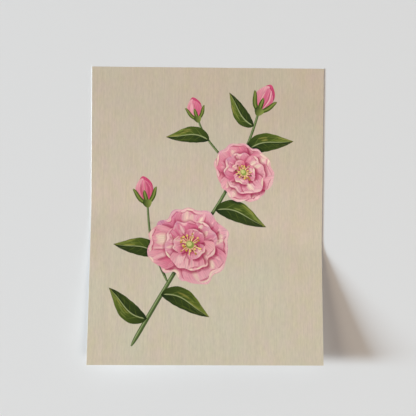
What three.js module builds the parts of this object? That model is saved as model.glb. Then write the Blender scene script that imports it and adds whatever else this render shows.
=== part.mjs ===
// An unframed art print: one sheet of heavy matte cotton paper, lying on its back with the
// printed face up. Its lower part keeps a curl and springs clear of the surface, as the foot of
// a print does that was leaned or rolled.
//
// Frame, in millimetres: +X is to the picture's right, +Y to its top, +Z is the face normal.
// The origin is at the middle of the sheet's own box in plan, on the surface that it lies on.

import * as THREE from 'three';

// Driving dimensions.
const sheetWidth = 279.4; // 11 in
const sheetHeight = 355.6; // 14 in
const sheetThickness = 0.5; // a 310 gsm cotton sheet

// The curl. The sheet is flat from its top edge to the bend line, which passes below its centre
// of mass, so it rests steadily. Then a short arc lifts it, and a long slack one carries it to
// the bottom edge. The radii are those of the sheet's mid-surface. The bend line is turned in
// plan, so the lower left corner lifts more than the lower right one.
const flatLength = 184; // from the top edge to the bend line, at the sheet's middle
const liftRadius = 160;
const liftLength = 21;
const slackRadius = 8000;
const bendLineTurn = THREE.MathUtils.degToRad(9);

// Facets: one row of cells over the flat part, then rows that share the lift and the slack.
const columns = 6;
const liftRows = 8;
const slackRows = 8;

const paper = new THREE.MeshStandardMaterial({ color: 0xcdbf9f, roughness: 0.85, metalness: 0 });

// How far down from the top edge the bend line lies, at a distance x right of the middle.
function bendLineAt(x) {
  return flatLength + x * Math.tan(bendLineTurn);
}

// The distance from the top edge of each row of vertices. Rows 1 and 1 + liftRows lie along the
// bend line and along the end of the lift.
function rowDistance(row, x) {
  if (row === 0) return 0;
  const liftStart = bendLineAt(x);
  const liftEnd = liftStart + liftLength / Math.cos(bendLineTurn);
  if (row <= 1 + liftRows) return liftStart + (liftEnd - liftStart) * (row - 1) / liftRows;
  return liftEnd + (sheetHeight - liftEnd) * (row - 1 - liftRows) / slackRows;
}

// The curl's profile, square to the bend line: how far along the surface and how high a point
// comes to lie that is `past` the bend line, and the slope of the sheet there. Lengths along
// the mid-surface are kept.
function curlProfile(past) {
  const liftAngle = Math.min(past, liftLength) / liftRadius;
  const slackAngle = Math.max(past - liftLength, 0) / slackRadius;
  const slope = liftAngle + slackAngle;
  const along = liftRadius * Math.sin(liftAngle)
    + slackRadius * (Math.sin(slope) - Math.sin(liftAngle));
  const height = liftRadius * (1 - Math.cos(liftAngle))
    + slackRadius * (Math.cos(liftAngle) - Math.cos(slope));
  return { along, height, slope };
}

// Carries a point of the flat sheet onto the curled one.
function curl(x, fromTop, aboveMiddle) {
  const past = Math.max(fromTop - bendLineAt(x), 0) * Math.cos(bendLineTurn);
  const { along, height, slope } = curlProfile(past);
  const drawnIn = past - along + aboveMiddle * Math.sin(slope);
  return new THREE.Vector3(
    x + drawnIn * Math.sin(bendLineTurn),
    -fromTop + drawnIn * Math.cos(bendLineTurn),
    sheetThickness / 2 + height + aboveMiddle * Math.cos(slope),
  );
}

// The sheet is a box of cells, with each vertex carried to its place on the curled sheet.
function makePrintSheet() {
  const rows = 1 + liftRows + slackRows;
  const geometry = new THREE.BoxGeometry(
    sheetWidth, sheetHeight, sheetThickness, columns, rows, 1,
  );
  const position = geometry.attributes.position;
  for (let i = 0; i < position.count; i++) {
    const row = Math.round((0.5 - position.getY(i) / sheetHeight) * rows);
    const x = position.getX(i);
    const place = curl(x, rowDistance(row, x), position.getZ(i));
    position.setXYZ(i, place.x, place.y, place.z);
  }
  geometry.computeBoundingBox();
  const { min, max } = geometry.boundingBox;
  geometry.translate(-(min.x + max.x) / 2, -(min.y + max.y) / 2, -min.z);
  geometry.computeVertexNormals();

  const mesh = new THREE.Mesh(geometry, paper);
  mesh.name = 'print_sheet';
  return mesh;
}

const artPrint = new THREE.Group();
artPrint.add(makePrintSheet());

export default artPrint;
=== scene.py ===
# %% [markdown]
# # An unframed art print
#
# The object is one sheet of heavy cotton paper, 11 x 14 in, with a floral design printed to its
# edges. It lies on its back. Its upper part is flat and its foot springs clear of the surface,
# as the foot of a print does that was leaned or rolled.
#
# Almost all of its looks are in the picture on it, so most of this lesson is about painting:
# every petal, leaf and brush mark is a real outline, and the outlines cut the sheet's front
# into faces. So the picture is as sharp as its outlines, close up and from any side.

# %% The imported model, and the units
import math
import random

import bpy
import numpy as np
from mathutils import Matrix, Vector
from mathutils.geometry import delaunay_2d_cdt


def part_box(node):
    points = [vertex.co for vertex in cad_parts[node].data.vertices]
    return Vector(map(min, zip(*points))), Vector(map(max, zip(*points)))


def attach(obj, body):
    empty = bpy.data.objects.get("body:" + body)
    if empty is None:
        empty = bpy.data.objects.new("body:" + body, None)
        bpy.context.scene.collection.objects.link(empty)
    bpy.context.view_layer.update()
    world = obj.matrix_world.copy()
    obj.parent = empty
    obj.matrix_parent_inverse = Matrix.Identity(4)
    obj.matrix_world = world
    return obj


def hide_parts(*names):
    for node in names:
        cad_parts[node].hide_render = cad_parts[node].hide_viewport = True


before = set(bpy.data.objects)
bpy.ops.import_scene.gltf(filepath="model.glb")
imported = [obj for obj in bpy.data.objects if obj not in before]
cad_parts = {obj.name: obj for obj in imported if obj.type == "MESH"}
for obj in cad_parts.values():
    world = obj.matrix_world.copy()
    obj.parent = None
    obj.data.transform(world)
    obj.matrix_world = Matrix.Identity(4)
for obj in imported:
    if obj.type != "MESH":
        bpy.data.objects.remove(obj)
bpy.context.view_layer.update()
MM = 0.001  # the design below is drawn in millimetres, and Blender's unit is the metre


# %% [markdown]
# ## The camera
#
# The camera looks down on the sheet as the photograph looks at it: nearly square on, from a
# little above the sheet's middle, with a hair of roll. It could be turned by eye until the
# outline fits, but place, direction and lens can make up for one another there. So all three
# were worked out together, from the sheet's four corners and the bow of its two long sides.

# %% The camera
CAMERA_PLACE = Vector((-1.64, 20.11, 688.5)) * MM
CAMERA_AIM = Vector((1.36, 7.96, 0.0)) * MM
CAMERA_ROLL = math.radians(0.517)
CAMERA_LENS, SENSOR_WIDTH = 49.21, 36.0  # mm


def add_camera():
    """Adds the camera, with its upward side turned a little anticlockwise."""
    data = bpy.data.cameras.new("camera")
    data.lens = CAMERA_LENS
    data.sensor_width = SENSOR_WIDTH
    camera = bpy.data.objects.new("camera", data)
    bpy.context.scene.collection.objects.link(camera)
    look = (CAMERA_AIM - CAMERA_PLACE).normalized()
    right = look.cross(Vector((-math.sin(CAMERA_ROLL), math.cos(CAMERA_ROLL), 0))).normalized()
    up = right.cross(look)
    axes = Matrix((right, up, -look)).transposed().to_4x4()
    camera.matrix_world = Matrix.Translation(CAMERA_PLACE) @ axes
    bpy.context.scene.camera = camera
    return camera


print("camera:", add_camera().location)


# %% [markdown]
# ## The sheet's shape
#
# The sheet is drawn flat and then carried onto its curl, point by point. Bending by a formula
# keeps every length on the paper, which a free sculpted bend wouldn't, and it is the curl that
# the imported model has: flat from the top edge to the bend line, a short arc that lifts the
# sheet, and a long slack arc to the foot. The bend line is turned in plan.

# %% The curl
SHEET_WIDTH, SHEET_HEIGHT, SHEET_THICKNESS = 279.4, 355.6, 0.5
FLAT_LENGTH = 184.0  # from the top edge to the bend line, at the sheet's middle
LIFT_RADIUS, LIFT_LENGTH = 160.0, 21.0
SLACK_RADIUS = 8000.0
BEND_LINE_TURN = math.radians(9)

low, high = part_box("print_sheet")
SHEET_MIDDLE = np.array([low.x / MM + SHEET_WIDTH / 2, high.y / MM - SHEET_HEIGHT / 2])


def curl(flat, above_back):
    """Carries flat points, in mm from the sheet's middle, to the curled sheet, in metres."""
    x, from_top = flat[:, 0], SHEET_HEIGHT / 2 - flat[:, 1]
    bend_line = FLAT_LENGTH + x * math.tan(BEND_LINE_TURN)
    past = np.maximum(from_top - bend_line, 0) * math.cos(BEND_LINE_TURN)
    lift_angle = np.minimum(past, LIFT_LENGTH) / LIFT_RADIUS
    slope = lift_angle + np.maximum(past - LIFT_LENGTH, 0) / SLACK_RADIUS
    along = LIFT_RADIUS * np.sin(lift_angle)
    along += SLACK_RADIUS * (np.sin(slope) - np.sin(lift_angle))
    height = LIFT_RADIUS * (1 - np.cos(lift_angle))
    height += SLACK_RADIUS * (np.cos(lift_angle) - np.cos(slope))
    above_middle = above_back - SHEET_THICKNESS / 2
    drawn_in = past - along + above_middle * np.sin(slope)
    place = np.stack(
        [
            x + drawn_in * math.sin(BEND_LINE_TURN) + SHEET_MIDDLE[0],
            flat[:, 1] + drawn_in * math.cos(BEND_LINE_TURN) + SHEET_MIDDLE[1],
            SHEET_THICKNESS / 2 + height + above_middle * np.cos(slope),
        ],
        axis=1,
    )
    return place * MM


foot = np.array([(x, -SHEET_HEIGHT / 2) for x in (-SHEET_WIDTH / 2, 0, SHEET_WIDTH / 2)])
print("the foot's back clears the floor by, mm:", np.round(curl(foot, np.zeros(3))[:, 2] / MM, 1))


# %% [markdown]
# ## Marks
#
# The real print carries ink in its surface, in the shapes of brush marks. That could be an
# image on the sheet, but an image is a file and blurs close up. Here the picture is a list of
# marks, laid one over the other as a painter lays them. A mark has an outline, a spine that
# its brush followed, and a paint. It can be clipped to what it belongs to, as a vein to its
# leaf, and it can be a glaze that lets what is beneath show through.
#
# Colours are written as they look on the print in this light, so they are divided by how much
# of the light a white sheet gives back here.

# %% Colours and curves
LIGHT_LEVEL = 0.87
chance = random.Random(11)


def ink(code):
    """A colour such as E8A2AF, as seen on the lit sheet, as a linear surface colour."""
    seen = np.array([int(code[i : i + 2], 16) / 255 for i in (0, 2, 4)])
    linear = np.where(seen <= 0.04045, seen / 12.92, ((seen + 0.055) / 1.055) ** 2.4)
    return np.clip(linear / LIGHT_LEVEL, 0.002, 0.95)


def blend(a, b, share):
    """Mixes colour a with colour b, for each of several shares."""
    share = np.clip(np.asarray(share, float), 0, 1)[..., None]
    return a * (1 - share) + b * share


def ramp(stops, x):
    """A colour for each x, from stops of (position, colour)."""
    places = [p for p, _ in stops]
    return np.stack([np.interp(x, places, [c[i] for _, c in stops]) for i in range(3)], -1)


def smooth_curve(points, steps=6, closed=False):
    """A smooth curve through the points."""
    p = np.asarray(points, float)
    n = len(p)
    spans = n if closed else n - 1
    t = np.linspace(0, 1, steps, endpoint=False)[:, None]
    out = []
    for i in range(spans):
        if closed:
            a, b, c, d = (p[(i + k) % n] for k in (-1, 0, 1, 2))
        else:
            a, b, c, d = (p[min(max(i + k, 0), n - 1)] for k in (-1, 0, 1, 2))
        out.append(
            0.5 * (2 * b + (c - a) * t + (2 * a - 5 * b + 4 * c - d) * t**2
                   + (3 * b - a - 3 * c + d) * t**3)
        )
    if not closed:
        out.append(p[-1:])
    return np.concatenate(out)


def sideways(spine):
    """The direction to the left of a spine, at each of its points."""
    along = np.gradient(spine, axis=0)
    along /= np.linalg.norm(along, axis=1, keepdims=True) + 1e-9
    return np.stack([-along[:, 1], along[:, 0]], 1)


# %% The picture
THINNEST = 0.06  # mm, half the width to which a stroke thins at its ends


class Picture:
    """The marks in the order in which they are laid."""

    def __init__(self):
        self.marks = []

    def lay(self, outline, spine, paint, opacity=1.0, soft=0.0, half_width=1.0, inside=None):
        """Lays one mark and returns its number. inside holds the marks that it is clipped to."""
        outline, spine = np.asarray(outline, float), np.asarray(spine, float)
        x, y = outline.T
        if (x * np.roll(y, -1) - y * np.roll(x, -1)).sum() < 0:
            outline = outline[::-1]  # all outlines run anticlockwise, as the cutting below needs
        self.marks.append(
            {
                "outline": outline,
                "spine": spine,
                "paint": paint,
                "opacity": opacity,
                "soft": soft,
                "half_width": np.broadcast_to(half_width, len(spine)),
                "inside": None if inside is None else frozenset(inside),
                "grain": (chance.uniform(0, 400), chance.uniform(0, 400)),
            }
        )
        return len(self.marks) - 1

    def stroke(self, spine, width, paint, taper=(0.5, 0.5), **more):
        """Lays a stroke along a spine, width wide at its middle and thinning to its ends."""
        spine = np.asarray(spine, float)
        t = np.linspace(0, 1, len(spine))
        rise = np.clip(t / taper[0], 0, 1) if taper[0] else np.ones_like(t)
        fall = np.clip((1 - t) / taper[1], 0, 1) if taper[1] else np.ones_like(t)
        half = width / 2 * np.sin(np.minimum(rise, fall) * math.pi / 2) ** 0.8
        half = np.maximum(half, THINNEST)
        side = sideways(spine) * half[:, None]
        outline = np.concatenate([spine + side, (spine - side)[::-1]])
        return self.lay(outline, spine, paint, half_width=half, **more)


def brush_frame(mark, points):
    """For each point: how far along the mark's spine it is and how far to its left, in mm, and
    the same two as shares of the spine's length and of the mark's half width there."""
    spine = mark["spine"]
    a, b = spine[:-1], spine[1:]
    run = b - a
    length = np.linalg.norm(run, axis=1) + 1e-9
    start = np.concatenate([[0], np.cumsum(length)[:-1]])
    rel = points[:, None, :] - a[None]
    t = np.clip((rel * run[None]).sum(2) / length**2, 0, 1)
    gap = rel - t[..., None] * run[None]
    nearest = np.argmin((gap**2).sum(2), axis=1)
    pick = np.arange(len(points))
    cross = run[nearest, 0] * rel[pick, nearest, 1] - run[nearest, 1] * rel[pick, nearest, 0]
    along = start[nearest] + t[pick, nearest] * length[nearest]
    left = cross / length[nearest]
    knots = np.concatenate([[0], np.cumsum(length)])
    return along, left, along / knots[-1], left / np.interp(along, knots, mark["half_width"])


picture = Picture()


# %% [markdown]
# ## Petals and blossoms
#
# The blossoms are open ones, with three rings of broad petals round their stamens. A petal is
# drawn in its own grid: s runs from its base to its rim and q across it, from -1 to 1, so a
# brush stroke at one q follows the petal's flow. A petal could be one outline with a smooth
# blend in it, but that looks printed and not painted. So every petal gets its ground tone,
# strokes from dark to pale, a few folds, a creamy light and a turned lip. Its shade falls on
# the petals below it, which is what parts one pink petal from the next.

# %% The petals' colours
CREAM, BLUSH, PALE = ink("F0D3BC"), ink("EBBFBC"), ink("E3A7AD")
PINK, ROSE, DEEP = ink("D78094"), ink("C84F73"), ink("A6284F")
WINE, MAUVE, PEACH = ink("6E1B3A"), ink("C98AA4"), ink("E9B3A2")
SHADE, LEAF_DARK = ink("A12A50"), ink("242F1C")  # the petals' shade on petals, and on leaves
SHADE_THROW = np.array([2.2, -2.0])  # the picture's own light comes from its upper left


def petal_tone(s, lit, hue=PINK):
    """The ground tone from base to rim. lit says how far the petal faces the light."""
    dark = ramp([(0, WINE), (0.22, DEEP), (0.6, ROSE), (0.9, PINK), (1, MAUVE)], s)
    light = ramp([(0, DEEP), (0.16, ROSE), (0.4, PINK), (0.75, PALE), (1, BLUSH)], s)
    return blend(blend(dark, light, lit), hue, 0.3 * np.clip(np.asarray(s), 0, 1))


# %% One petal
PETAL_SHOULDER = 0.66  # how far up its sides the petal is widest


class Petal:
    """The grid of one petal: at(s, q) gives a point of the sheet."""

    def __init__(self, root, heading, length, width, tilt, seed):
        """tilt holds the petal's foreshortening and the direction along which it works."""
        self.root, self.heading = np.array(root), heading
        self.length, self.width, self.tilt = length, width, tilt
        self.notch = seed.uniform(0.03, 0.12)
        self.notch_at = seed.uniform(-0.35, 0.35)
        self.waves = [(seed.uniform(2, 9), seed.uniform(0, 6.3), seed.uniform(0.008, 0.024))
                      for _ in range(4)]
        self.lean = seed.uniform(-0.16, 0.16)
        self.bright = 1 if math.sin(heading - math.radians(135)) > 0 else -1
        self.hue = blend(seed.choice([PEACH, MAUVE, PALE]), PINK, seed.uniform(0.1, 0.6))

    def at(self, s, q):
        """The point at s of the petal's length, and at q across it."""
        s, q = np.broadcast_arrays(np.asarray(s, float), np.asarray(q, float))
        rim = PETAL_SHOULDER + (1 - PETAL_SHOULDER) * (1 - np.abs(q) ** 2.6)
        rim = rim - self.notch * np.exp(-(((q - self.notch_at) / 0.24) ** 2))
        for pitch, phase, size in self.waves:
            rim = rim + size * np.sin(pitch * q + phase)
        along = s * rim * self.length
        breadth = np.sin(np.clip(s, 0, 1) * math.pi / 2) ** 0.8
        across = (q * breadth + self.lean * s**2 * (1 - np.abs(q))) * self.width / 2
        c, d = math.cos(self.heading), math.sin(self.heading)
        flat = np.stack([along * c - across * d, along * d + across * c], -1)
        squash, turn = self.tilt
        t = np.array([math.cos(turn), math.sin(turn)])
        return self.root + flat - (1 - squash) * (flat @ t)[..., None] * t

    def outline(self):
        """The petal's outline, up one side, round the rim and down the other."""
        side, rim = np.linspace(0.04, 1, 9), np.linspace(-1, 1, 23)[1:-1]
        return np.concatenate([self.at(side, -1), self.at(1, rim), self.at(side[::-1], 1)])

    def tone(self, start, stop, lit):
        """The paint of a stroke that runs from s = start to s = stop."""
        return lambda u, v: petal_tone(start + (stop - start) * u, lit, self.hue)


def throw_shade(petal, below, tone):
    """Lays the shade of a petal on the marks below it, soft at both its sides."""
    rim = petal.at(1, np.linspace(-0.9, 0.9, 15))
    sides = [petal.at(np.linspace(0.25, 0.95, 7), -1), petal.at(np.linspace(0.95, 0.25, 7), 1)]
    for edge in (rim, *sides):
        picture.stroke(edge + SHADE_THROW * 0.5, 8.5, tone, taper=(0.25, 0.25),
                       opacity=0.95, soft=1.0, inside=below)


def lay_petal(petal, lit, seed):
    """Lays one petal with its strokes. Returns the number of its ground mark."""
    spine = petal.at(np.linspace(0, 1, 9), 0)
    body = picture.lay(petal.outline(), spine, petal.tone(0, 1, lit), half_width=petal.width / 2)
    own = {"inside": [body]}

    for q in np.linspace(-0.94, 0.94, 13):  # the strokes that model it
        q = q + seed.uniform(-0.07, 0.07)
        start, stop = seed.uniform(0.05, 0.4), seed.uniform(0.6, 1.06)
        s = np.linspace(start, stop, 8)
        light = lit - 0.45 * q * petal.bright + seed.uniform(-0.55, 0.45)
        picture.stroke(
            petal.at(s, q + seed.uniform(-0.2, 0.2) * (s - start)),
            petal.width * seed.uniform(0.06, 0.17), petal.tone(start, stop, light),
            opacity=seed.uniform(0.6, 0.95), soft=0.5, taper=(0.6, 0.3), **own,
        )
    for _ in range(2):  # its folds: a dark furrow beside a pale ridge
        q, start, stop = seed.uniform(-0.7, 0.7), seed.uniform(0.1, 0.3), seed.uniform(0.65, 0.95)
        s = np.linspace(start, stop, 8)
        lean, wide = seed.uniform(-0.25, 0.25), petal.width * seed.uniform(0.06, 0.1)
        step = 1.3 * wide / petal.width * petal.bright
        picture.stroke(petal.at(s, q + lean * s), wide, blend(DEEP, ROSE, 0.3),
                       opacity=0.75, soft=0.8, **own)
        picture.stroke(petal.at(s + 0.06, q + lean * s - step), wide * 1.2,
                       PALE if lit < 0.45 else BLUSH, opacity=0.8, soft=0.8, **own)
    for q in np.linspace(-0.8, 0.8, 7):  # the dark of its throat
        q = q + seed.uniform(-0.08, 0.08)
        s = np.linspace(0.02, seed.uniform(0.3, 0.55), 6)
        picture.stroke(petal.at(s, q), petal.width * seed.uniform(0.05, 0.1),
                       seed.choice([WINE, DEEP, DEEP]),
                       opacity=seed.uniform(0.5, 0.8), soft=0.7, taper=(0.1, 0.9), **own)
    for _ in range(3 if lit > 0.45 else 1):  # its creamy light
        q, width = seed.uniform(-0.6, 0.35) * petal.bright, seed.uniform(0.1, 0.22)
        s = np.linspace(seed.uniform(0.4, 0.55), seed.uniform(0.82, 0.98), 7)
        picture.stroke(
            petal.at(s, q + 0.12 * (s - 0.5)), petal.width * width,
            seed.choice([CREAM, CREAM, BLUSH]),
            opacity=seed.uniform(0.6, 0.95), soft=0.8, **own,
        )
    for k in range(5):  # its rim: pale lips, with a deeper line under some
        q = seed.uniform(-0.75, 0.75) + np.linspace(-1, 1, 8) * seed.uniform(0.12, 0.3)
        s = 1 - seed.uniform(0.015, 0.05) - 0.03 * np.cos(np.linspace(-1.5, 1.5, 8))
        if k < 3:
            picture.stroke(petal.at(s - 0.045, q), seed.uniform(1.6, 3.2), blend(DEEP, ROSE, 0.3),
                           opacity=0.7, soft=0.5, **own)
        picture.stroke(petal.at(s, q), seed.uniform(2.0, 4.2),
                       seed.choice([CREAM, BLUSH, BLUSH, PALE]),
                       opacity=0.9 if lit > 0.4 else 0.6, soft=0.3, **own)
    return body


# %% A blossom
GOLD, OCHRE, UMBER = ink("E4C868"), ink("B98A38"), ink("6A4426")
HEART_GREEN, HEART_LIGHT = ink("8C984A"), ink("CBC97E")
RINGS = ((1.0, 6), (0.68, 5), (0.42, 3))  # each ring's reach, and how many petals it has


def blossom(middle, radius, turn, squash, squash_turn, green):
    """Lays an open blossom. squash is its foreshortening along the direction squash_turn, and
    green holds the leaves and stems that it shades."""
    seed = random.Random(chance.random())
    middle = np.array(middle, float)
    petals = []
    for ring, (reach, count) in enumerate(RINGS):
        for k in list(range(0, count, 2)) + list(range(1, count, 2)):
            heading = turn + 0.5 * ring + 2 * math.pi * k / count + seed.uniform(-0.14, 0.14)
            length = radius * reach * seed.uniform(0.9, 1.06)
            width = radius * reach * seed.uniform(1.0, 1.26)
            petals.append(Petal(middle, heading, length, width, (squash, squash_turn), seed))
    for petal in petals[: RINGS[0][1]]:
        throw_shade(petal, green, LEAF_DARK)
    laid = []
    for petal in petals:
        if laid:
            throw_shade(petal, laid, SHADE)
        facing = math.cos(petal.heading - math.radians(-50))  # its inside faces the light
        laid.append(lay_petal(petal, 0.53 + 0.32 * facing + seed.uniform(-0.22, 0.2), seed))
    heart(middle, radius * 0.8, squash, squash_turn, laid, seed)


def heart(middle, radius, squash, squash_turn, laid, seed):
    """The green eye of a blossom, with its stamens."""
    t = np.array([math.cos(squash_turn), math.sin(squash_turn)])

    def ring(angle, distance):
        """The points at these angles and distances from the middle."""
        p = np.stack([np.cos(angle), np.sin(angle)], -1) * distance
        return middle + p - (1 - squash) * (p @ t)[..., None] * t

    circle = np.linspace(0, 2 * math.pi, 18, endpoint=False)
    for reach in (0.3, 0.22, 0.15):
        picture.lay(ring(circle, radius * reach), ring(circle, 1)[:2], DEEP, opacity=0.4,
                    inside=laid)
    for k in range(24):
        angle = 2 * math.pi * k / 24 + seed.uniform(-0.12, 0.12)
        reach = radius * seed.uniform(0.18, 0.36)
        line = ring(np.array([angle, angle + 0.05, angle + seed.uniform(-0.1, 0.15)]),
                    np.array([[0.08 * radius], [reach * 0.6], [reach]]))
        picture.stroke(line, 0.8, blend(GOLD, CREAM, 0.4), taper=(0, 0), inside=laid)
        tip = line[-1]
        dot = np.stack([np.cos(circle[::2]), np.sin(circle[::2])], -1)
        dot = tip + dot * radius * seed.uniform(0.02, 0.038)
        picture.lay(dot + 0.25 * SHADE_THROW, dot[:2], WINE, opacity=0.6, inside=laid)
        picture.lay(dot, dot[:2], seed.choice([GOLD, GOLD, OCHRE, UMBER]))
    eye = ring(circle, radius * 0.12)
    picture.lay(eye, eye[:2], HEART_GREEN)
    picture.lay(ring(circle, radius * 0.075) + np.array([-0.8, 0.8]), eye[:2], HEART_LIGHT)


# %% [markdown]
# ## Leaves, stems and buds
#
# A leaf is a blade along a bent midrib. It could be filled with noise, but a painter's leaf is
# read by its direction. So long strokes follow the blade from its base to its point, darker on
# the half that turns from the light, and the midrib is one pale line with a few faint side
# veins. A stem is a long stroke with a dark side and a light side, and a bud is three petals
# wrapped over one another in a cup of sepals.

# %% Greens
LEAF_SHADE, LEAF, LEAF_OLIVE = ink("35421F"), ink("4A5A24"), ink("66742C")
LEAF_LIGHT, LEAF_PALE, LEAF_STRAW = ink("87914A"), ink("A8B07A"), ink("A39A4E")
STEM_DARK, STEM, STEM_LIGHT = ink("38472A"), ink("687B46"), ink("9DAB7C")


# %% One leaf
def leaf(base, tip, width, bend):
    """Lays a leaf from base to tip. bend moves its middle to the left, in mm."""
    seed = random.Random(chance.random())
    base, tip = np.array(base, float), np.array(tip, float)
    run = tip - base
    left = np.array([-run[1], run[0]]) / np.linalg.norm(run)
    t = np.linspace(0, 1, 25)
    bow = bend * np.sin(math.pi * t**0.85) + 0.25 * bend * np.sin(2 * math.pi * t)
    spine = base + run * t[:, None] + left * bow[:, None]
    side = sideways(spine)
    half = width / 2 * np.sin(math.pi * t**0.78) ** 0.85 * (1.12 - 0.35 * t)
    half = np.maximum(half * (1 + 0.02 * np.sin(t * 31)), 0.15)
    bright = 1 if side[12] @ np.array([-0.7, 0.7]) > 0 else -1

    def at(u, q):
        """The point at the share u of the blade's length, and q of its half width to the left."""
        middle = np.stack([np.interp(u, t, spine[:, i]) for i in (0, 1)], -1)
        out = np.stack([np.interp(u, t, (side * half[:, None])[:, i]) for i in (0, 1)], -1)
        return middle + out * np.asarray(q)[..., None]

    def tone(lit):
        """The paint of a stroke that faces the light by lit."""
        dark = [(0, LEAF_DARK), (0.4, LEAF_SHADE), (1, LEAF_DARK)]
        light = [(0, LEAF_SHADE), (0.3, LEAF), (0.65, LEAF_OLIVE), (0.9, LEAF_LIGHT),
                 (1, LEAF_STRAW)]
        return lambda u, v: blend(ramp(dark, u), ramp(light, u), lit + 0.3 * bright * np.sign(v))

    edge = np.concatenate([at(t, np.ones_like(t)), at(t[::-1], -np.ones_like(t))])
    body = picture.lay(edge, spine, tone(0.35), half_width=width / 2)
    own = {"inside": [body]}
    for q in np.linspace(-0.9, 0.9, 11):
        q = q + seed.uniform(-0.06, 0.06)
        u = np.linspace(seed.uniform(0.02, 0.45), seed.uniform(0.6, 0.98), 9)
        lit = 0.34 + 0.34 * bright * np.sign(q) + seed.uniform(-0.35, 0.4)
        picture.stroke(
            at(u, np.full_like(u, q)), width * seed.uniform(0.08, 0.18), tone(lit),
            opacity=seed.uniform(0.4, 0.85), soft=0.5, **own,
        )
    for _ in range(5):
        q, u = bright * seed.uniform(0.1, 0.85), seed.uniform(0.25, 0.7)
        u = np.linspace(u, min(u + seed.uniform(0.15, 0.35), 0.97), 6)
        picture.stroke(at(u, np.full_like(u, q)), width * seed.uniform(0.06, 0.13),
                       seed.choice([LEAF_LIGHT, LEAF_OLIVE, LEAF_STRAW]),
                       opacity=0.6, soft=0.7, **own)
    for hand in (1, -1):
        for u in np.linspace(0.16, 0.66, 4):
            q = np.linspace(0, 0.8, 5)
            line = at(u + 0.22 * q**0.8, hand * q)
            picture.stroke(line, 0.8, LEAF_LIGHT if hand == bright else LEAF_OLIVE,
                           opacity=0.35, taper=(0.1, 0.9), **own)
    rib = at(t[1:-2], np.zeros(len(t) - 3))
    picture.stroke(rib - side[1:-2] * bright * 0.9, 1.6, LEAF_DARK, opacity=0.6, soft=0.3, **own)
    picture.stroke(rib, 1.4, LEAF_PALE, opacity=0.7, taper=(0.05, 0.9), **own)
    return body


# %% A stem
def stem(points, width, end_width):
    """Lays a stem through the points, from its thick end."""
    spine = smooth_curve(points, 8)
    half = np.linspace(width, end_width, len(spine)) / 2
    half[:3] *= (0.3, 0.7, 0.92)  # the brush lifts off at the cut end
    side = sideways(spine)
    edge = side * half[:, None]
    body = picture.lay(
        np.concatenate([spine + edge, (spine - edge)[::-1]]), spine, STEM, half_width=width / 2
    )
    bright = 1 if side[len(side) // 2] @ np.array([-0.8, 0.6]) > 0 else -1
    for place, share, tone in ((-0.62, 0.55, STEM_DARK), (0.4, 0.36, STEM_LIGHT),
                               (0.05, 0.2, STEM), (0.7, 0.14, STEM_DARK)):
        picture.stroke(spine + edge * bright * place, width * share, tone,
                       taper=(0.02, 0.1), opacity=0.8, soft=0.35, inside=[body])
    return body


# %% A bud
def bud(base, heading, size):
    """Lays a closed bud, with three petals wrapped round each other and its sepals."""
    seed = random.Random(chance.random())
    turn = np.array([[math.cos(heading), -math.sin(heading)],
                     [math.sin(heading), math.cos(heading)]])

    def here(points):
        """Carries points of a bud that is 1 long and points along x to this bud's place."""
        return np.array(base) + (np.asarray(points, float) * size) @ turn.T

    axis = here([(0, 0), (1, 0)])
    wraps = [
        ([(0, 0), (0.2, 0.28), (0.55, 0.36), (0.9, 0.16), (1.02, -0.04), (0.7, -0.3),
          (0.25, -0.26)], (DEEP, ROSE)),
        ([(0, 0.02), (0.2, 0.3), (0.55, 0.37), (0.86, 0.2), (0.93, 0.0), (0.55, 0.02),
          (0.2, -0.1)], (ROSE, PALE)),
        ([(0, -0.02), (0.2, -0.27), (0.55, -0.3), (0.82, -0.12), (0.86, 0.06), (0.5, 0.08),
          (0.2, 0.12)], (ROSE, PINK)),
    ]
    bodies = []
    for outline, (near, far) in wraps:
        edge = smooth_curve(here(outline), 5, closed=True)
        if bodies:
            picture.lay(edge + SHADE_THROW * 0.4, axis, WINE, opacity=0.55, inside=bodies)
        body = picture.lay(edge, axis, (lambda a, b: lambda u, v: blend(a, b, u))(near, far))
        for _ in range(6):
            y = seed.uniform(-0.28, 0.28)
            line = here([(0.1, y * 0.5), (0.5, y), (seed.uniform(0.75, 0.95), y * 0.5)])
            picture.stroke(smooth_curve(line, 4), seed.uniform(1.0, 2.6),
                           seed.choice([CREAM, PALE, BLUSH, ROSE, DEEP]),
                           opacity=0.65, soft=0.5, inside=[body])
        bodies.append(body)
    for bend, reach in ((0.5, 0.62), (-0.5, 0.56), (0.05, 0.5)):
        line = smooth_curve(here([(-0.08, 0), (0.2, bend * 0.5), (reach * 0.8, bend * 0.75),
                                  (reach, bend * 0.9)]), 5)
        sepal = picture.stroke(line, size * 0.17, LEAF, taper=(0.3, 0.7))
        picture.stroke(line, size * 0.07, LEAF_LIGHT, opacity=0.8, soft=0.3, inside=[sepal])
    cup = smooth_curve(here([(-0.16, 0.06), (0.0, 0.17), (0.12, 0.1), (0.12, -0.1), (0.0, -0.17),
                             (-0.16, -0.06)]), 4, closed=True)
    picture.lay(cup, axis, lambda u, v: blend(LEAF_LIGHT, LEAF_SHADE, 0.5 + 0.1 * v + u))


# %% [markdown]
# ## The design
#
# A flowering branch crosses the sheet from its lower left to its upper right, with bare ground
# round it. The stems come first, then the leaves that lie behind, and the buds and blossoms,
# because a mark that is laid later hides what is under it.

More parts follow.
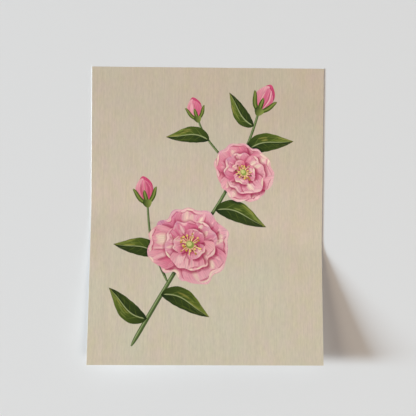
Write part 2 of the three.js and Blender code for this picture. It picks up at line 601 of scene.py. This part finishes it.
# %% The branch
def paint_branch():
    """Lays the whole design, from the stems up."""
    green = [
        stem([(-88, -156), (-56, -100), (-18, -36), (20, 24), (48, 84), (62, 126)], 5.6, 2.8),
        stem([(-46, -82), (-66, -34), (-72, 14)], 3.6, 2.4),
        stem([(34, 52), (0, 92), (-12, 116)], 3.0, 2.2),
        leaf((-70, -124), (-116, -88), 23, 6),
        leaf((-54, -96), (4, -122), 24, 6),
        leaf((-58, -50), (-112, -36), 22, -5),
        leaf((10, 6), (72, -14), 25, 6),
        leaf((2, 90), (-50, 94), 20, -5),
        leaf((48, 78), (104, 90), 23, 5),
        leaf((56, 108), (26, 148), 18, 4),
    ]
    bud((-72, 14), math.radians(100), 32)
    bud((-12, 116), math.radians(104), 26)
    bud((62, 126), math.radians(66), 34)
    blossom((44, 52), 42, 1.1, 0.84, 0.7, green)
    blossom((-20, -36), 51, 0.15, 0.93, 1.2, green)


paint_branch()
print("marks in the picture:", len(picture.marks))


# %% [markdown]
# ## From marks to a mesh
#
# The outlines of all the marks that show, the sheet's border and a grid of points go into one
# constrained Delaunay triangulation. It says for every triangle which outlines hold it, so the
# marks can be painted one after the other onto the triangles' corners, each with its own
# opacity. The marks could also be thin shells over the sheet, but ink has no thickness, and
# shells so close together flicker in a render.

# %% The front's triangles
GRID = 7.0  # mm between the plain points, which follow the curl
HALF = np.array([SHEET_WIDTH, SHEET_HEIGHT]) / 2


def border_points():
    """Points round the sheet's border, anticlockwise, about a grid step apart."""
    across = np.linspace(-HALF[0], HALF[0], round(SHEET_WIDTH / GRID) + 1)[:-1]
    up = np.linspace(-HALF[1], HALF[1], round(SHEET_HEIGHT / GRID) + 1)[:-1]
    return np.concatenate(
        [
            np.stack([across, np.full_like(across, -HALF[1])], 1),
            np.stack([np.full_like(up, HALF[0]), up], 1),
            np.stack([-across, np.full_like(across, HALF[1])], 1),
            np.stack([np.full_like(up, -HALF[0]), -up], 1),
        ]
    )


def grid_points():
    """Points inside the border, in offset rows."""
    rows = np.arange(-HALF[1] + GRID, HALF[1] - GRID / 2, GRID)
    points = []
    for i, y in enumerate(rows):
        x = np.arange(-HALF[0] + GRID * (0.75 + 0.5 * (i % 2)), HALF[0] - GRID / 2, GRID)
        points.append(np.stack([x, np.full_like(x, y)], 1))
    return np.concatenate(points)


def holds(outline, points):
    """Says for each point whether it lies inside the outline."""
    (ax, ay), (bx, by) = outline.T, np.roll(outline, -1, 0).T
    x, y = points[:, :1], points[:, 1:]
    crosses = (ay > y) != (by > y)
    at = ax + (y - ay) * (bx - ax) / np.where(by == ay, 1, by - ay)
    return (crosses & (x < at)).sum(1) % 2 == 1


def shown_marks(marks):
    """The numbers of the marks that the opaque ones above them don't cover whole."""
    solid = [i for i, m in enumerate(marks)
             if m["opacity"] == 1 and not m["soft"] and not m["inside"]]
    shown = []
    for i, mark in enumerate(marks):
        points = np.concatenate([mark["outline"], mark["spine"]])
        if mark["inside"]:
            points = points[sum(holds(marks[m]["outline"], points) for m in mark["inside"]) > 0]
        if len(points):
            covered = sum(holds(marks[m]["outline"], points) for m in solid if m > i)
            if not np.all(covered):
                shown.append(i)
    return shown


KEEP_INSIDE = 1  # keep the triangles that lie inside the border
NEAREST = 1e-5  # mm, within which two points are one


def triangulate(border, marks, shown):
    """The flat points, the triangles and for each triangle the marks whose outline holds it."""
    points, faces = [border], [list(range(len(border)))]
    count = len(border)
    for i in shown:
        points.append(marks[i]["outline"])
        faces.append(list(range(count, count + len(marks[i]["outline"]))))
        count += len(marks[i]["outline"])
    for i in shown:
        if marks[i]["soft"]:
            points.append(marks[i]["spine"])
    points.append(grid_points())
    flat = [Vector(p) for p in np.concatenate(points)]
    verts, _, tris, _, _, held_by = delaunay_2d_cdt(flat, [], faces, KEEP_INSIDE, NEAREST, True)
    stacks = [[shown[f - 1] for f in held if f > 0] for held in held_by]
    return np.array([tuple(v) for v in verts]), np.array(tris), stacks


border = border_points()
shown = shown_marks(picture.marks)
print("marks that show:", len(shown))
flat_points, triangles, stacks = triangulate(border, picture.marks, shown)
print("front:", len(flat_points), "points,", len(triangles), "triangles")


# %% Painting the corners
GROUND = ink("C8BBA0")
BROAD = 0.5  # a mark of more opacity than this turns the bristles its own way


def paint_corners(marks, flat, tris, stacks):
    """The paint on each corner of each triangle, its cover, and the brush's own directions."""
    colour = np.tile(GROUND, (len(tris), 3, 1))
    cover = np.zeros((len(tris), 3))
    grain = np.zeros((len(tris), 3, 2))
    holders = [[] for _ in marks]
    for i, stack in enumerate(stacks):
        held = set(stack)
        for m in stack:
            inside = marks[m]["inside"]
            if inside is None or held & inside:
                holders[m].append(i)
    for mark, which in zip(marks, holders):
        if not which:
            continue
        which = np.array(which)
        points = flat[tris[which]].reshape(-1, 2)
        along, left, u, v = brush_frame(mark, points)
        paint = mark["paint"]
        tone = paint(u, v) if callable(paint) else np.broadcast_to(paint, (len(v), 3))
        opacity = mark["opacity"] * (1 - mark["soft"] * np.clip(np.abs(v), 0, 1))
        shape = (len(which), 3)
        share = opacity.reshape(shape)[..., None]
        colour[which] = colour[which] * (1 - share) + tone.reshape(*shape, 3) * share
        cover[which] = cover[which] + (1 - cover[which]) * opacity.reshape(shape)
        if mark["opacity"] > BROAD:
            brush = np.stack([along, left], 1) + np.array(mark["grain"])
            grain[which] = brush.reshape(*shape, 2)
    return colour, cover, grain


colour, cover, grain = paint_corners(picture.marks, flat_points, triangles, stacks)
first, second, third = (flat_points[triangles[:, k]] for k in range(3))
(ax, ay), (bx, by) = (second - first).T, (third - first).T
areas = (ax * by - ay * bx) / 2
covered = areas @ cover.mean(1) / areas.sum()
print("share of the front under the branch:", round(float(covered), 3))


# %% [markdown]
# ## The sheet's body
#
# The blank sheet is modelled as by hand: a grid primitive of its size is extruded to its
# thickness, and the last 0.08 mm is drawn in all round, which breaks the front's arris as a
# blade leaves it, so the white core of the paper shows as a hairline. Its plain front is then
# taken off. A primitive can't carry the picture, whose outlines have to be edges of the mesh,
# so the front is made from the triangles above, joined on and merged along the border.

# %% The blank sheet
ARRIS = 0.08  # mm
INSET = 1 - ARRIS / HALF


def blank_sheet():
    """The flat sheet without its front, standing on z = 0."""
    bpy.ops.object.select_all(action="DESELECT")
    cells = [round(side / GRID) for side in (SHEET_WIDTH, SHEET_HEIGHT)]
    bpy.ops.mesh.primitive_grid_add(x_subdivisions=cells[0], y_subdivisions=cells[1], size=1)
    blank = bpy.context.object
    bpy.ops.object.mode_set(mode="EDIT")
    bpy.ops.mesh.select_mode(type="FACE")
    bpy.ops.transform.resize(value=(SHEET_WIDTH * MM, SHEET_HEIGHT * MM, 1))
    for rise in (SHEET_THICKNESS - ARRIS, ARRIS):
        bpy.ops.mesh.extrude_region_move(TRANSFORM_OT_translate={"value": (0, 0, rise * MM)})
    bpy.ops.transform.resize(value=(*INSET, 1), center_override=(0, 0, SHEET_THICKNESS * MM))
    bpy.ops.mesh.delete(type="FACE")
    bpy.ops.mesh.select_all(action="SELECT")
    bpy.ops.mesh.normals_make_consistent(inside=False)
    bpy.ops.object.mode_set(mode="OBJECT")
    return blank


blank = blank_sheet()
print("blank sheet:", len(blank.data.polygons), "faces")


# %% The baking map of the blank sheet
# These are all shares of the map's width or height.
TEXEL = 2.8 / 1024  # what one mm of the front takes
MARGIN = 0.004
BACK_START, BACK_SIZE = 0.788, (0.205, 0.97)
STRIP_START, STRIP_HEIGHT = {"arris": 0.981, "edge": 0.988}, 0.005
SIDE_PITCH, SIDE_FILL = 0.248, 0.98  # a side's length in a strip, and how much of it is filled


def map_blank(mesh):
    """The back goes beside the front in the baking map, and the cut edge in two thin strips."""
    spots = mesh.uv_layers.new(name="OFBake").data
    for face in mesh.polygons:
        points = [mesh.vertices[mesh.loops[i].vertex_index].co / MM for i in face.loop_indices]
        if face.normal.z < -0.9:
            for i, p in zip(face.loop_indices, points):
                across, up = (p.x / SHEET_WIDTH + 0.5), (p.y / SHEET_HEIGHT + 0.5)
                spots[i].uv = across * BACK_SIZE[0] + BACK_START, up * BACK_SIZE[1] + MARGIN
            continue
        bottom = STRIP_START["edge" if abs(face.normal.z) < 0.1 else "arris"]
        lowest = min(p.z for p in points)
        along_y = abs(face.normal.x) > abs(face.normal.y)
        side = (1 if face.normal.x > 0 else 3) if along_y else (0 if face.normal.y < 0 else 2)
        for i, p in zip(face.loop_indices, points):
            run = (p.y / SHEET_HEIGHT if along_y else p.x / SHEET_WIDTH) + 0.5
            upper = p.z > lowest + ARRIS / 2
            across = MARGIN + SIDE_PITCH * (side + run * SIDE_FILL)
            spots[i].uv = across, bottom + STRIP_HEIGHT * upper


map_blank(blank.data)
print("baking map of the blank sheet:", len(blank.data.uv_layers["OFBake"].data), "corners")


# %% The painted front
def painted_front():
    """The front's triangles, flat, with the paint, the brush directions and the maps."""
    places = np.column_stack([flat_points * INSET, np.full(len(flat_points), SHEET_THICKNESS)])
    mesh = bpy.data.meshes.new("printed_sheet")
    mesh.from_pydata((places * MM).tolist(), [], triangles.tolist())
    paint = np.concatenate([colour, cover[..., None]], 2).astype(np.float32)
    layer = mesh.color_attributes.new("paint", "FLOAT_COLOR", "CORNER")
    layer.data.foreach_set("color", paint.ravel())
    flat = flat_points[triangles]
    for name, spots in (("OFBake", (flat + HALF) * TEXEL + MARGIN), ("brush", grain),
                        ("sheet_mm", flat)):
        values = spots.astype(np.float32).ravel()
        mesh.uv_layers.new(name=name).data.foreach_set("uv", values)
    mesh.uv_layers["OFBake"].active_render = True
    front = bpy.data.objects.new("printed_sheet", mesh)
    bpy.context.scene.collection.objects.link(front)
    return front


sheet = painted_front()
print("painted front:", len(sheet.data.polygons), "faces")


# %% [markdown]
# ## The finishes
#
# The print is ink in the surface of a matte cotton paper, so it has no gloss of its own. A
# trace of gloss would look the same from above, but seen along the sheet it turns pale and
# hides the colours, so there is none.
#
# The ground of the picture was brushed up and down over a fine cloth: thin upright streaks,
# wider soft bands, and faint greenish and pinkish clouds, a little darker and warmer at the
# top. Painted marks could make them too, but there would be thousands, so they are stretched
# noise on the flat sheet's own map, in millimetres. Strokes in the branch show their bristles
# along the way they were laid, from a second map. The back and the core are the paper's warm
# white.

# %% A small kit for node materials
class Nodes:
    """Adds shader nodes to one material and links them."""

    def __init__(self, name):
        """Makes the material, whose shader is then in surface."""
        self.material = bpy.data.materials.new(name)
        self.material.use_nodes = True
        self.tree = self.material.node_tree
        self.surface = self.tree.nodes["Principled BSDF"]

    def put(self, socket, value):
        """Links a node's output to the socket, or sets a plain value on it."""
        if isinstance(value, bpy.types.NodeSocket):
            self.tree.links.new(value, socket)
        else:
            socket.default_value = value

    def add(self, kind, inputs=(), output=0, **settings):
        """Adds a node with its settings and inputs, and returns one of its outputs."""
        node = self.tree.nodes.new("ShaderNode" + kind)
        for key, value in settings.items():
            setattr(node, key, value)
        for key, value in dict(inputs).items():
            self.put(node.inputs[key], value)
        return node.outputs[output]

    def noise(self, uv_map, size, detail=2.0, seed=(0, 0)):
        """Noise from 0 to 1 whose grains are about size mm, read from one of the mesh's maps."""
        place = self.add("UVMap", uv_map=uv_map)
        scale = (1 / size[0], 1 / size[1], 1)
        scaled = self.add("Mapping", {"Vector": place, "Location": (*seed, 0), "Scale": scale})
        return self.add("TexNoise", {"Vector": scaled, "Scale": 1.0, "Detail": detail},
                        noise_dimensions="2D")

    def scale(self, value, low, high, clamp=False):
        """Carries noise, most of which lies from 0.3 to 0.7, to low..high."""
        return self.add("MapRange", {0: value, 1: 0.3, 2: 0.7, 3: low, 4: high}, clamp=clamp)

    def mix(self, share, a, b, blend_type="MIX"):
        """Mixes colour a with colour b, by a share."""
        node = self.tree.nodes.new("ShaderNodeMix")
        node.data_type, node.blend_type = "RGBA", blend_type
        for index, value in ((0, share), (6, a), (7, b)):
            self.put(node.inputs[index], value)
        return node.outputs[2]


# %% The printed front
GROUND_PINK, GROUND_TAN, GROUND_GREEN = ink("CFBCAD"), ink("CCBEA5"), ink("C9C1AC")
PALER_BELOW, WARMER_CORNER = (1.01, 1.055, 1.045, 1), (1.0, 0.98, 0.95, 1)  # they multiply


def printed_front():
    """Ink on cotton paper: the branch from the corners' paint, and its ground from noise."""
    n = Nodes("printed_cotton_paper")
    paint = n.add("VertexColor", layer_name="paint")
    cover = paint.node.outputs[1]

    bands = n.scale(n.noise("sheet_mm", (10, 16), 1.5), 0.14, 0.86)
    clouds = n.scale(n.noise("sheet_mm", (48, 60), 2, (7, 3)), 0, 0.6)
    touches = n.scale(n.noise("sheet_mm", (1.7, 7), 3, (3, 9)), 0.962, 1.038)
    streaks = n.scale(n.noise("sheet_mm", (2.0, 45), 3, (5, 1)), 0.973, 1.027)
    washes = n.scale(n.noise("sheet_mm", (9, 50), 2, (2, 8)), 0.987, 1.013)
    place = n.add("UVMap", uv_map="sheet_mm")
    right, height = (n.add("SeparateXYZ", {0: place}, i) for i in (0, 1))
    upper = n.add("MapRange", {0: height, 1: -30, 2: 130, 3: 0.993, 4: 0.884})
    lower = n.add("MapRange", {0: height, 1: -20, 2: -90, 3: 0, 4: 1})
    corner = n.add("Math", {0: right, 1: height}, operation="ADD")
    corner = n.add("MapRange", {0: corner, 1: -20, 2: 240, 3: 0, 4: 1})
    ground = n.mix(bands, (*GROUND_PINK, 1), (*GROUND_TAN, 1))
    ground = n.mix(clouds, ground, (*GROUND_GREEN, 1))
    ground = n.mix(lower, ground, n.mix(1.0, ground, PALER_BELOW, "MULTIPLY"))
    ground = n.mix(corner, ground, n.mix(1.0, ground, WARMER_CORNER, "MULTIPLY"))
    for tone in (touches, streaks, washes, upper):
        grey = n.add("CombineColor", {0: tone, 1: tone, 2: tone})
        ground = n.mix(1.0, ground, grey, "MULTIPLY")

    bristle = n.scale(n.noise("brush", (16, 0.9), 3), 0.86, 1.14)
    bristles = n.add("CombineColor", {0: bristle, 1: bristle, 2: bristle})
    motif = n.mix(1.0, paint, bristles, "MULTIPLY")
    n.put(n.surface.inputs["Base Color"], n.mix(cover, ground, motif))
    n.put(n.surface.inputs["Roughness"], n.add("MapRange", {0: cover, 3: 0.9, 4: 0.8}))
    n.put(n.surface.inputs["Specular IOR Level"], 0.0)
    tooth = n.noise("sheet_mm", (0.8, 0.8), 3)
    n.put(n.surface.inputs["Normal"],
          n.add("Bump", {"Strength": 0.25, "Distance": 0.0001, "Height": tooth}))
    return n.material


# %% The bare paper
def bare_paper():
    """Warm white cotton paper, on the sheet's back, its cut edges and its arris."""
    n = Nodes("bare_cotton_paper")
    place = n.add("TexCoord", output=3)
    fibres = n.add("TexNoise", {"Vector": place, "Scale": 900.0, "Detail": 4.0})
    clouds = n.add("TexNoise", {"Vector": place, "Scale": 30.0, "Detail": 2.0})
    tone = n.mix(n.scale(clouds, 0, 1), (0.83, 0.82, 0.795, 1), (0.87, 0.865, 0.85, 1))
    n.put(n.surface.inputs["Base Color"], tone)
    n.put(n.surface.inputs["Roughness"], n.scale(fibres, 0.86, 0.94))
    n.put(n.surface.inputs["Normal"],
          n.add("Bump", {"Strength": 0.3, "Distance": 0.0002, "Height": fibres}))
    return n.material


sheet.data.materials.append(printed_front())
blank.data.materials.append(bare_paper())
print("finishes:", [ob.data.materials[0].name for ob in (sheet, blank)])


# %% Front and body joined, and curled
MERGE = 0.01  # mm within which the two borders' points are one
CREASE = math.radians(30)  # sharper edges than this stay sharp in the shading


def join_and_curl():
    """Joins the body to the front, merges their borders and carries all of it onto the curl."""
    bpy.ops.object.select_all(action="DESELECT")
    blank.select_set(True)
    sheet.select_set(True)
    bpy.context.view_layer.objects.active = sheet
    bpy.ops.object.join()
    bpy.ops.object.mode_set(mode="EDIT")
    bpy.ops.mesh.select_mode(type="VERT")
    bpy.ops.mesh.select_all(action="DESELECT")
    bpy.ops.mesh.select_non_manifold()
    bpy.ops.mesh.remove_doubles(threshold=MERGE * MM)
    bpy.ops.mesh.select_all(action="DESELECT")
    bpy.ops.mesh.select_non_manifold()
    bpy.ops.object.mode_set(mode="OBJECT")
    mesh = sheet.data
    print("open edges left:", sum(edge.select for edge in mesh.edges))
    places = np.zeros(len(mesh.vertices) * 3)
    mesh.vertices.foreach_get("co", places)
    places = places.reshape(-1, 3) / MM
    mesh.vertices.foreach_set("co", curl(places[:, :2], places[:, 2]).ravel())
    bpy.ops.object.shade_smooth_by_angle(angle=CREASE)
    bpy.ops.object.select_all(action="DESELECT")
    mesh.update()
    print("sheet:", len(mesh.vertices), "points,", len(mesh.polygons), "faces")


join_and_curl()


# %% [markdown]
# ## The floor and the light
#
# The sheet lies on a plain matte floor. A cool, soft key lamp stands low to the left, so the
# lifted foot throws a long soft shadow to the right, and the flat part throws none. A warmer
# side lamp stands higher and a small one nearly overhead: they draw the shadow's paler steps.
# The room's own light is dim and warm, which keeps the deepest shadow brown instead of black.
# Each lamp is given as its share of the light that reaches the floor, so the floor keeps its
# tone when one is changed. The lamps stand far off, so the floor is lit evenly to its rim.

# %% The floor
FLOOR_WHITE = 0.8
FLOOR_RADIUS, FLOOR_SIDES = 3.0, 96


def add_floor():
    """A round floor, wide enough to reach eye level from any side."""
    bpy.ops.object.select_all(action="DESELECT")
    bpy.ops.mesh.primitive_circle_add(
        vertices=FLOOR_SIDES, radius=FLOOR_RADIUS, fill_type="NGON"
    )
    floor = bpy.context.object
    floor.name = "floor"
    n = Nodes("matte_floor")
    n.surface.inputs["Base Color"].default_value = (FLOOR_WHITE,) * 3 + (1,)
    n.surface.inputs["Roughness"].default_value = 1.0
    n.surface.inputs["Specular IOR Level"].default_value = 0.0
    floor.data.materials.append(n.material)
    print("floor, m across:", round(floor.dimensions.x, 2))


add_floor()


# %% The lamps
WARM, EVEN, COOL = (1.2, 1.0, 0.75), (1.03, 1.0, 0.935), (0.835, 1.0, 1.13)


def add_lamp(name, towards, distance, size, share, tint):
    """A soft panel that faces the sheet and gives the floor a share of its light."""
    towards = Vector(towards).normalized()
    data = bpy.data.lights.new(name, "AREA")
    data.shape = "RECTANGLE"
    data.size, data.size_y = size
    data.color = tint
    data.energy = share * LIGHT_LEVEL * math.pi**2 * distance**2 / towards.z
    lamp = bpy.data.objects.new(name, data)
    lamp.location = towards * distance
    lamp.rotation_euler = (-towards).to_track_quat("-Z", "Y").to_euler()
    bpy.context.scene.collection.objects.link(lamp)


def towards_at(elevation, azimuth):
    """The direction at an elevation, and at an azimuth from -X towards -Y, in degrees."""
    e, a = math.radians(elevation), math.radians(azimuth)
    return (-math.cos(e) * math.cos(a), -math.cos(e) * math.sin(a), math.sin(e))


add_lamp("key", towards_at(12.7, 2), 18.0, (3.2, 3.2), 0.535, COOL)
add_lamp("side", towards_at(30, 5), 18.0, (4.8, 4.8), 0.125, WARM)
add_lamp("top", (0.4, -0.26, 1), 3.8, (1.4, 1.4), 0.255, EVEN)


# %% The room's own light
HAZE_ENDS = (0.2, 0.6)  # how far up the pale part fades, where 0 is level and 1 is overhead


def add_room(share, tint, haze):
    """The light of the room itself: pale up to a little above eye level, dim overhead."""
    world = bpy.data.worlds.new("room")
    world.use_nodes = True
    tree = world.node_tree
    nodes, link = tree.nodes, tree.links.new
    upward = nodes.new("ShaderNodeSeparateXYZ")
    link(nodes.new("ShaderNodeTexCoord").outputs["Generated"], upward.inputs[0])
    above = nodes.new("ShaderNodeMapRange")
    above.interpolation_type = "SMOOTHSTEP"
    for end, height in zip(("From Min", "From Max"), HAZE_ENDS):
        above.inputs[end].default_value = height
    link(upward.outputs["Z"], above.inputs["Value"])
    tones = nodes.new("ShaderNodeMix")
    tones.data_type = "RGBA"
    tones.inputs[6].default_value = (*haze, 1)
    tones.inputs[7].default_value = (*(share * LIGHT_LEVEL * c for c in tint), 1)
    link(above.outputs[0], tones.inputs[0])
    link(tones.outputs[2], nodes["Background"].inputs["Color"])
    return world


bpy.context.scene.world = add_room(0.077, (1.0, 0.3, 0.0), (0.575, 0.54, 0.505))
bpy.context.scene.view_settings.view_transform = "Standard"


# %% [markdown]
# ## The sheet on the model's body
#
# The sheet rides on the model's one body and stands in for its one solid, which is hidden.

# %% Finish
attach(sheet, "root")
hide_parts("print_sheet")
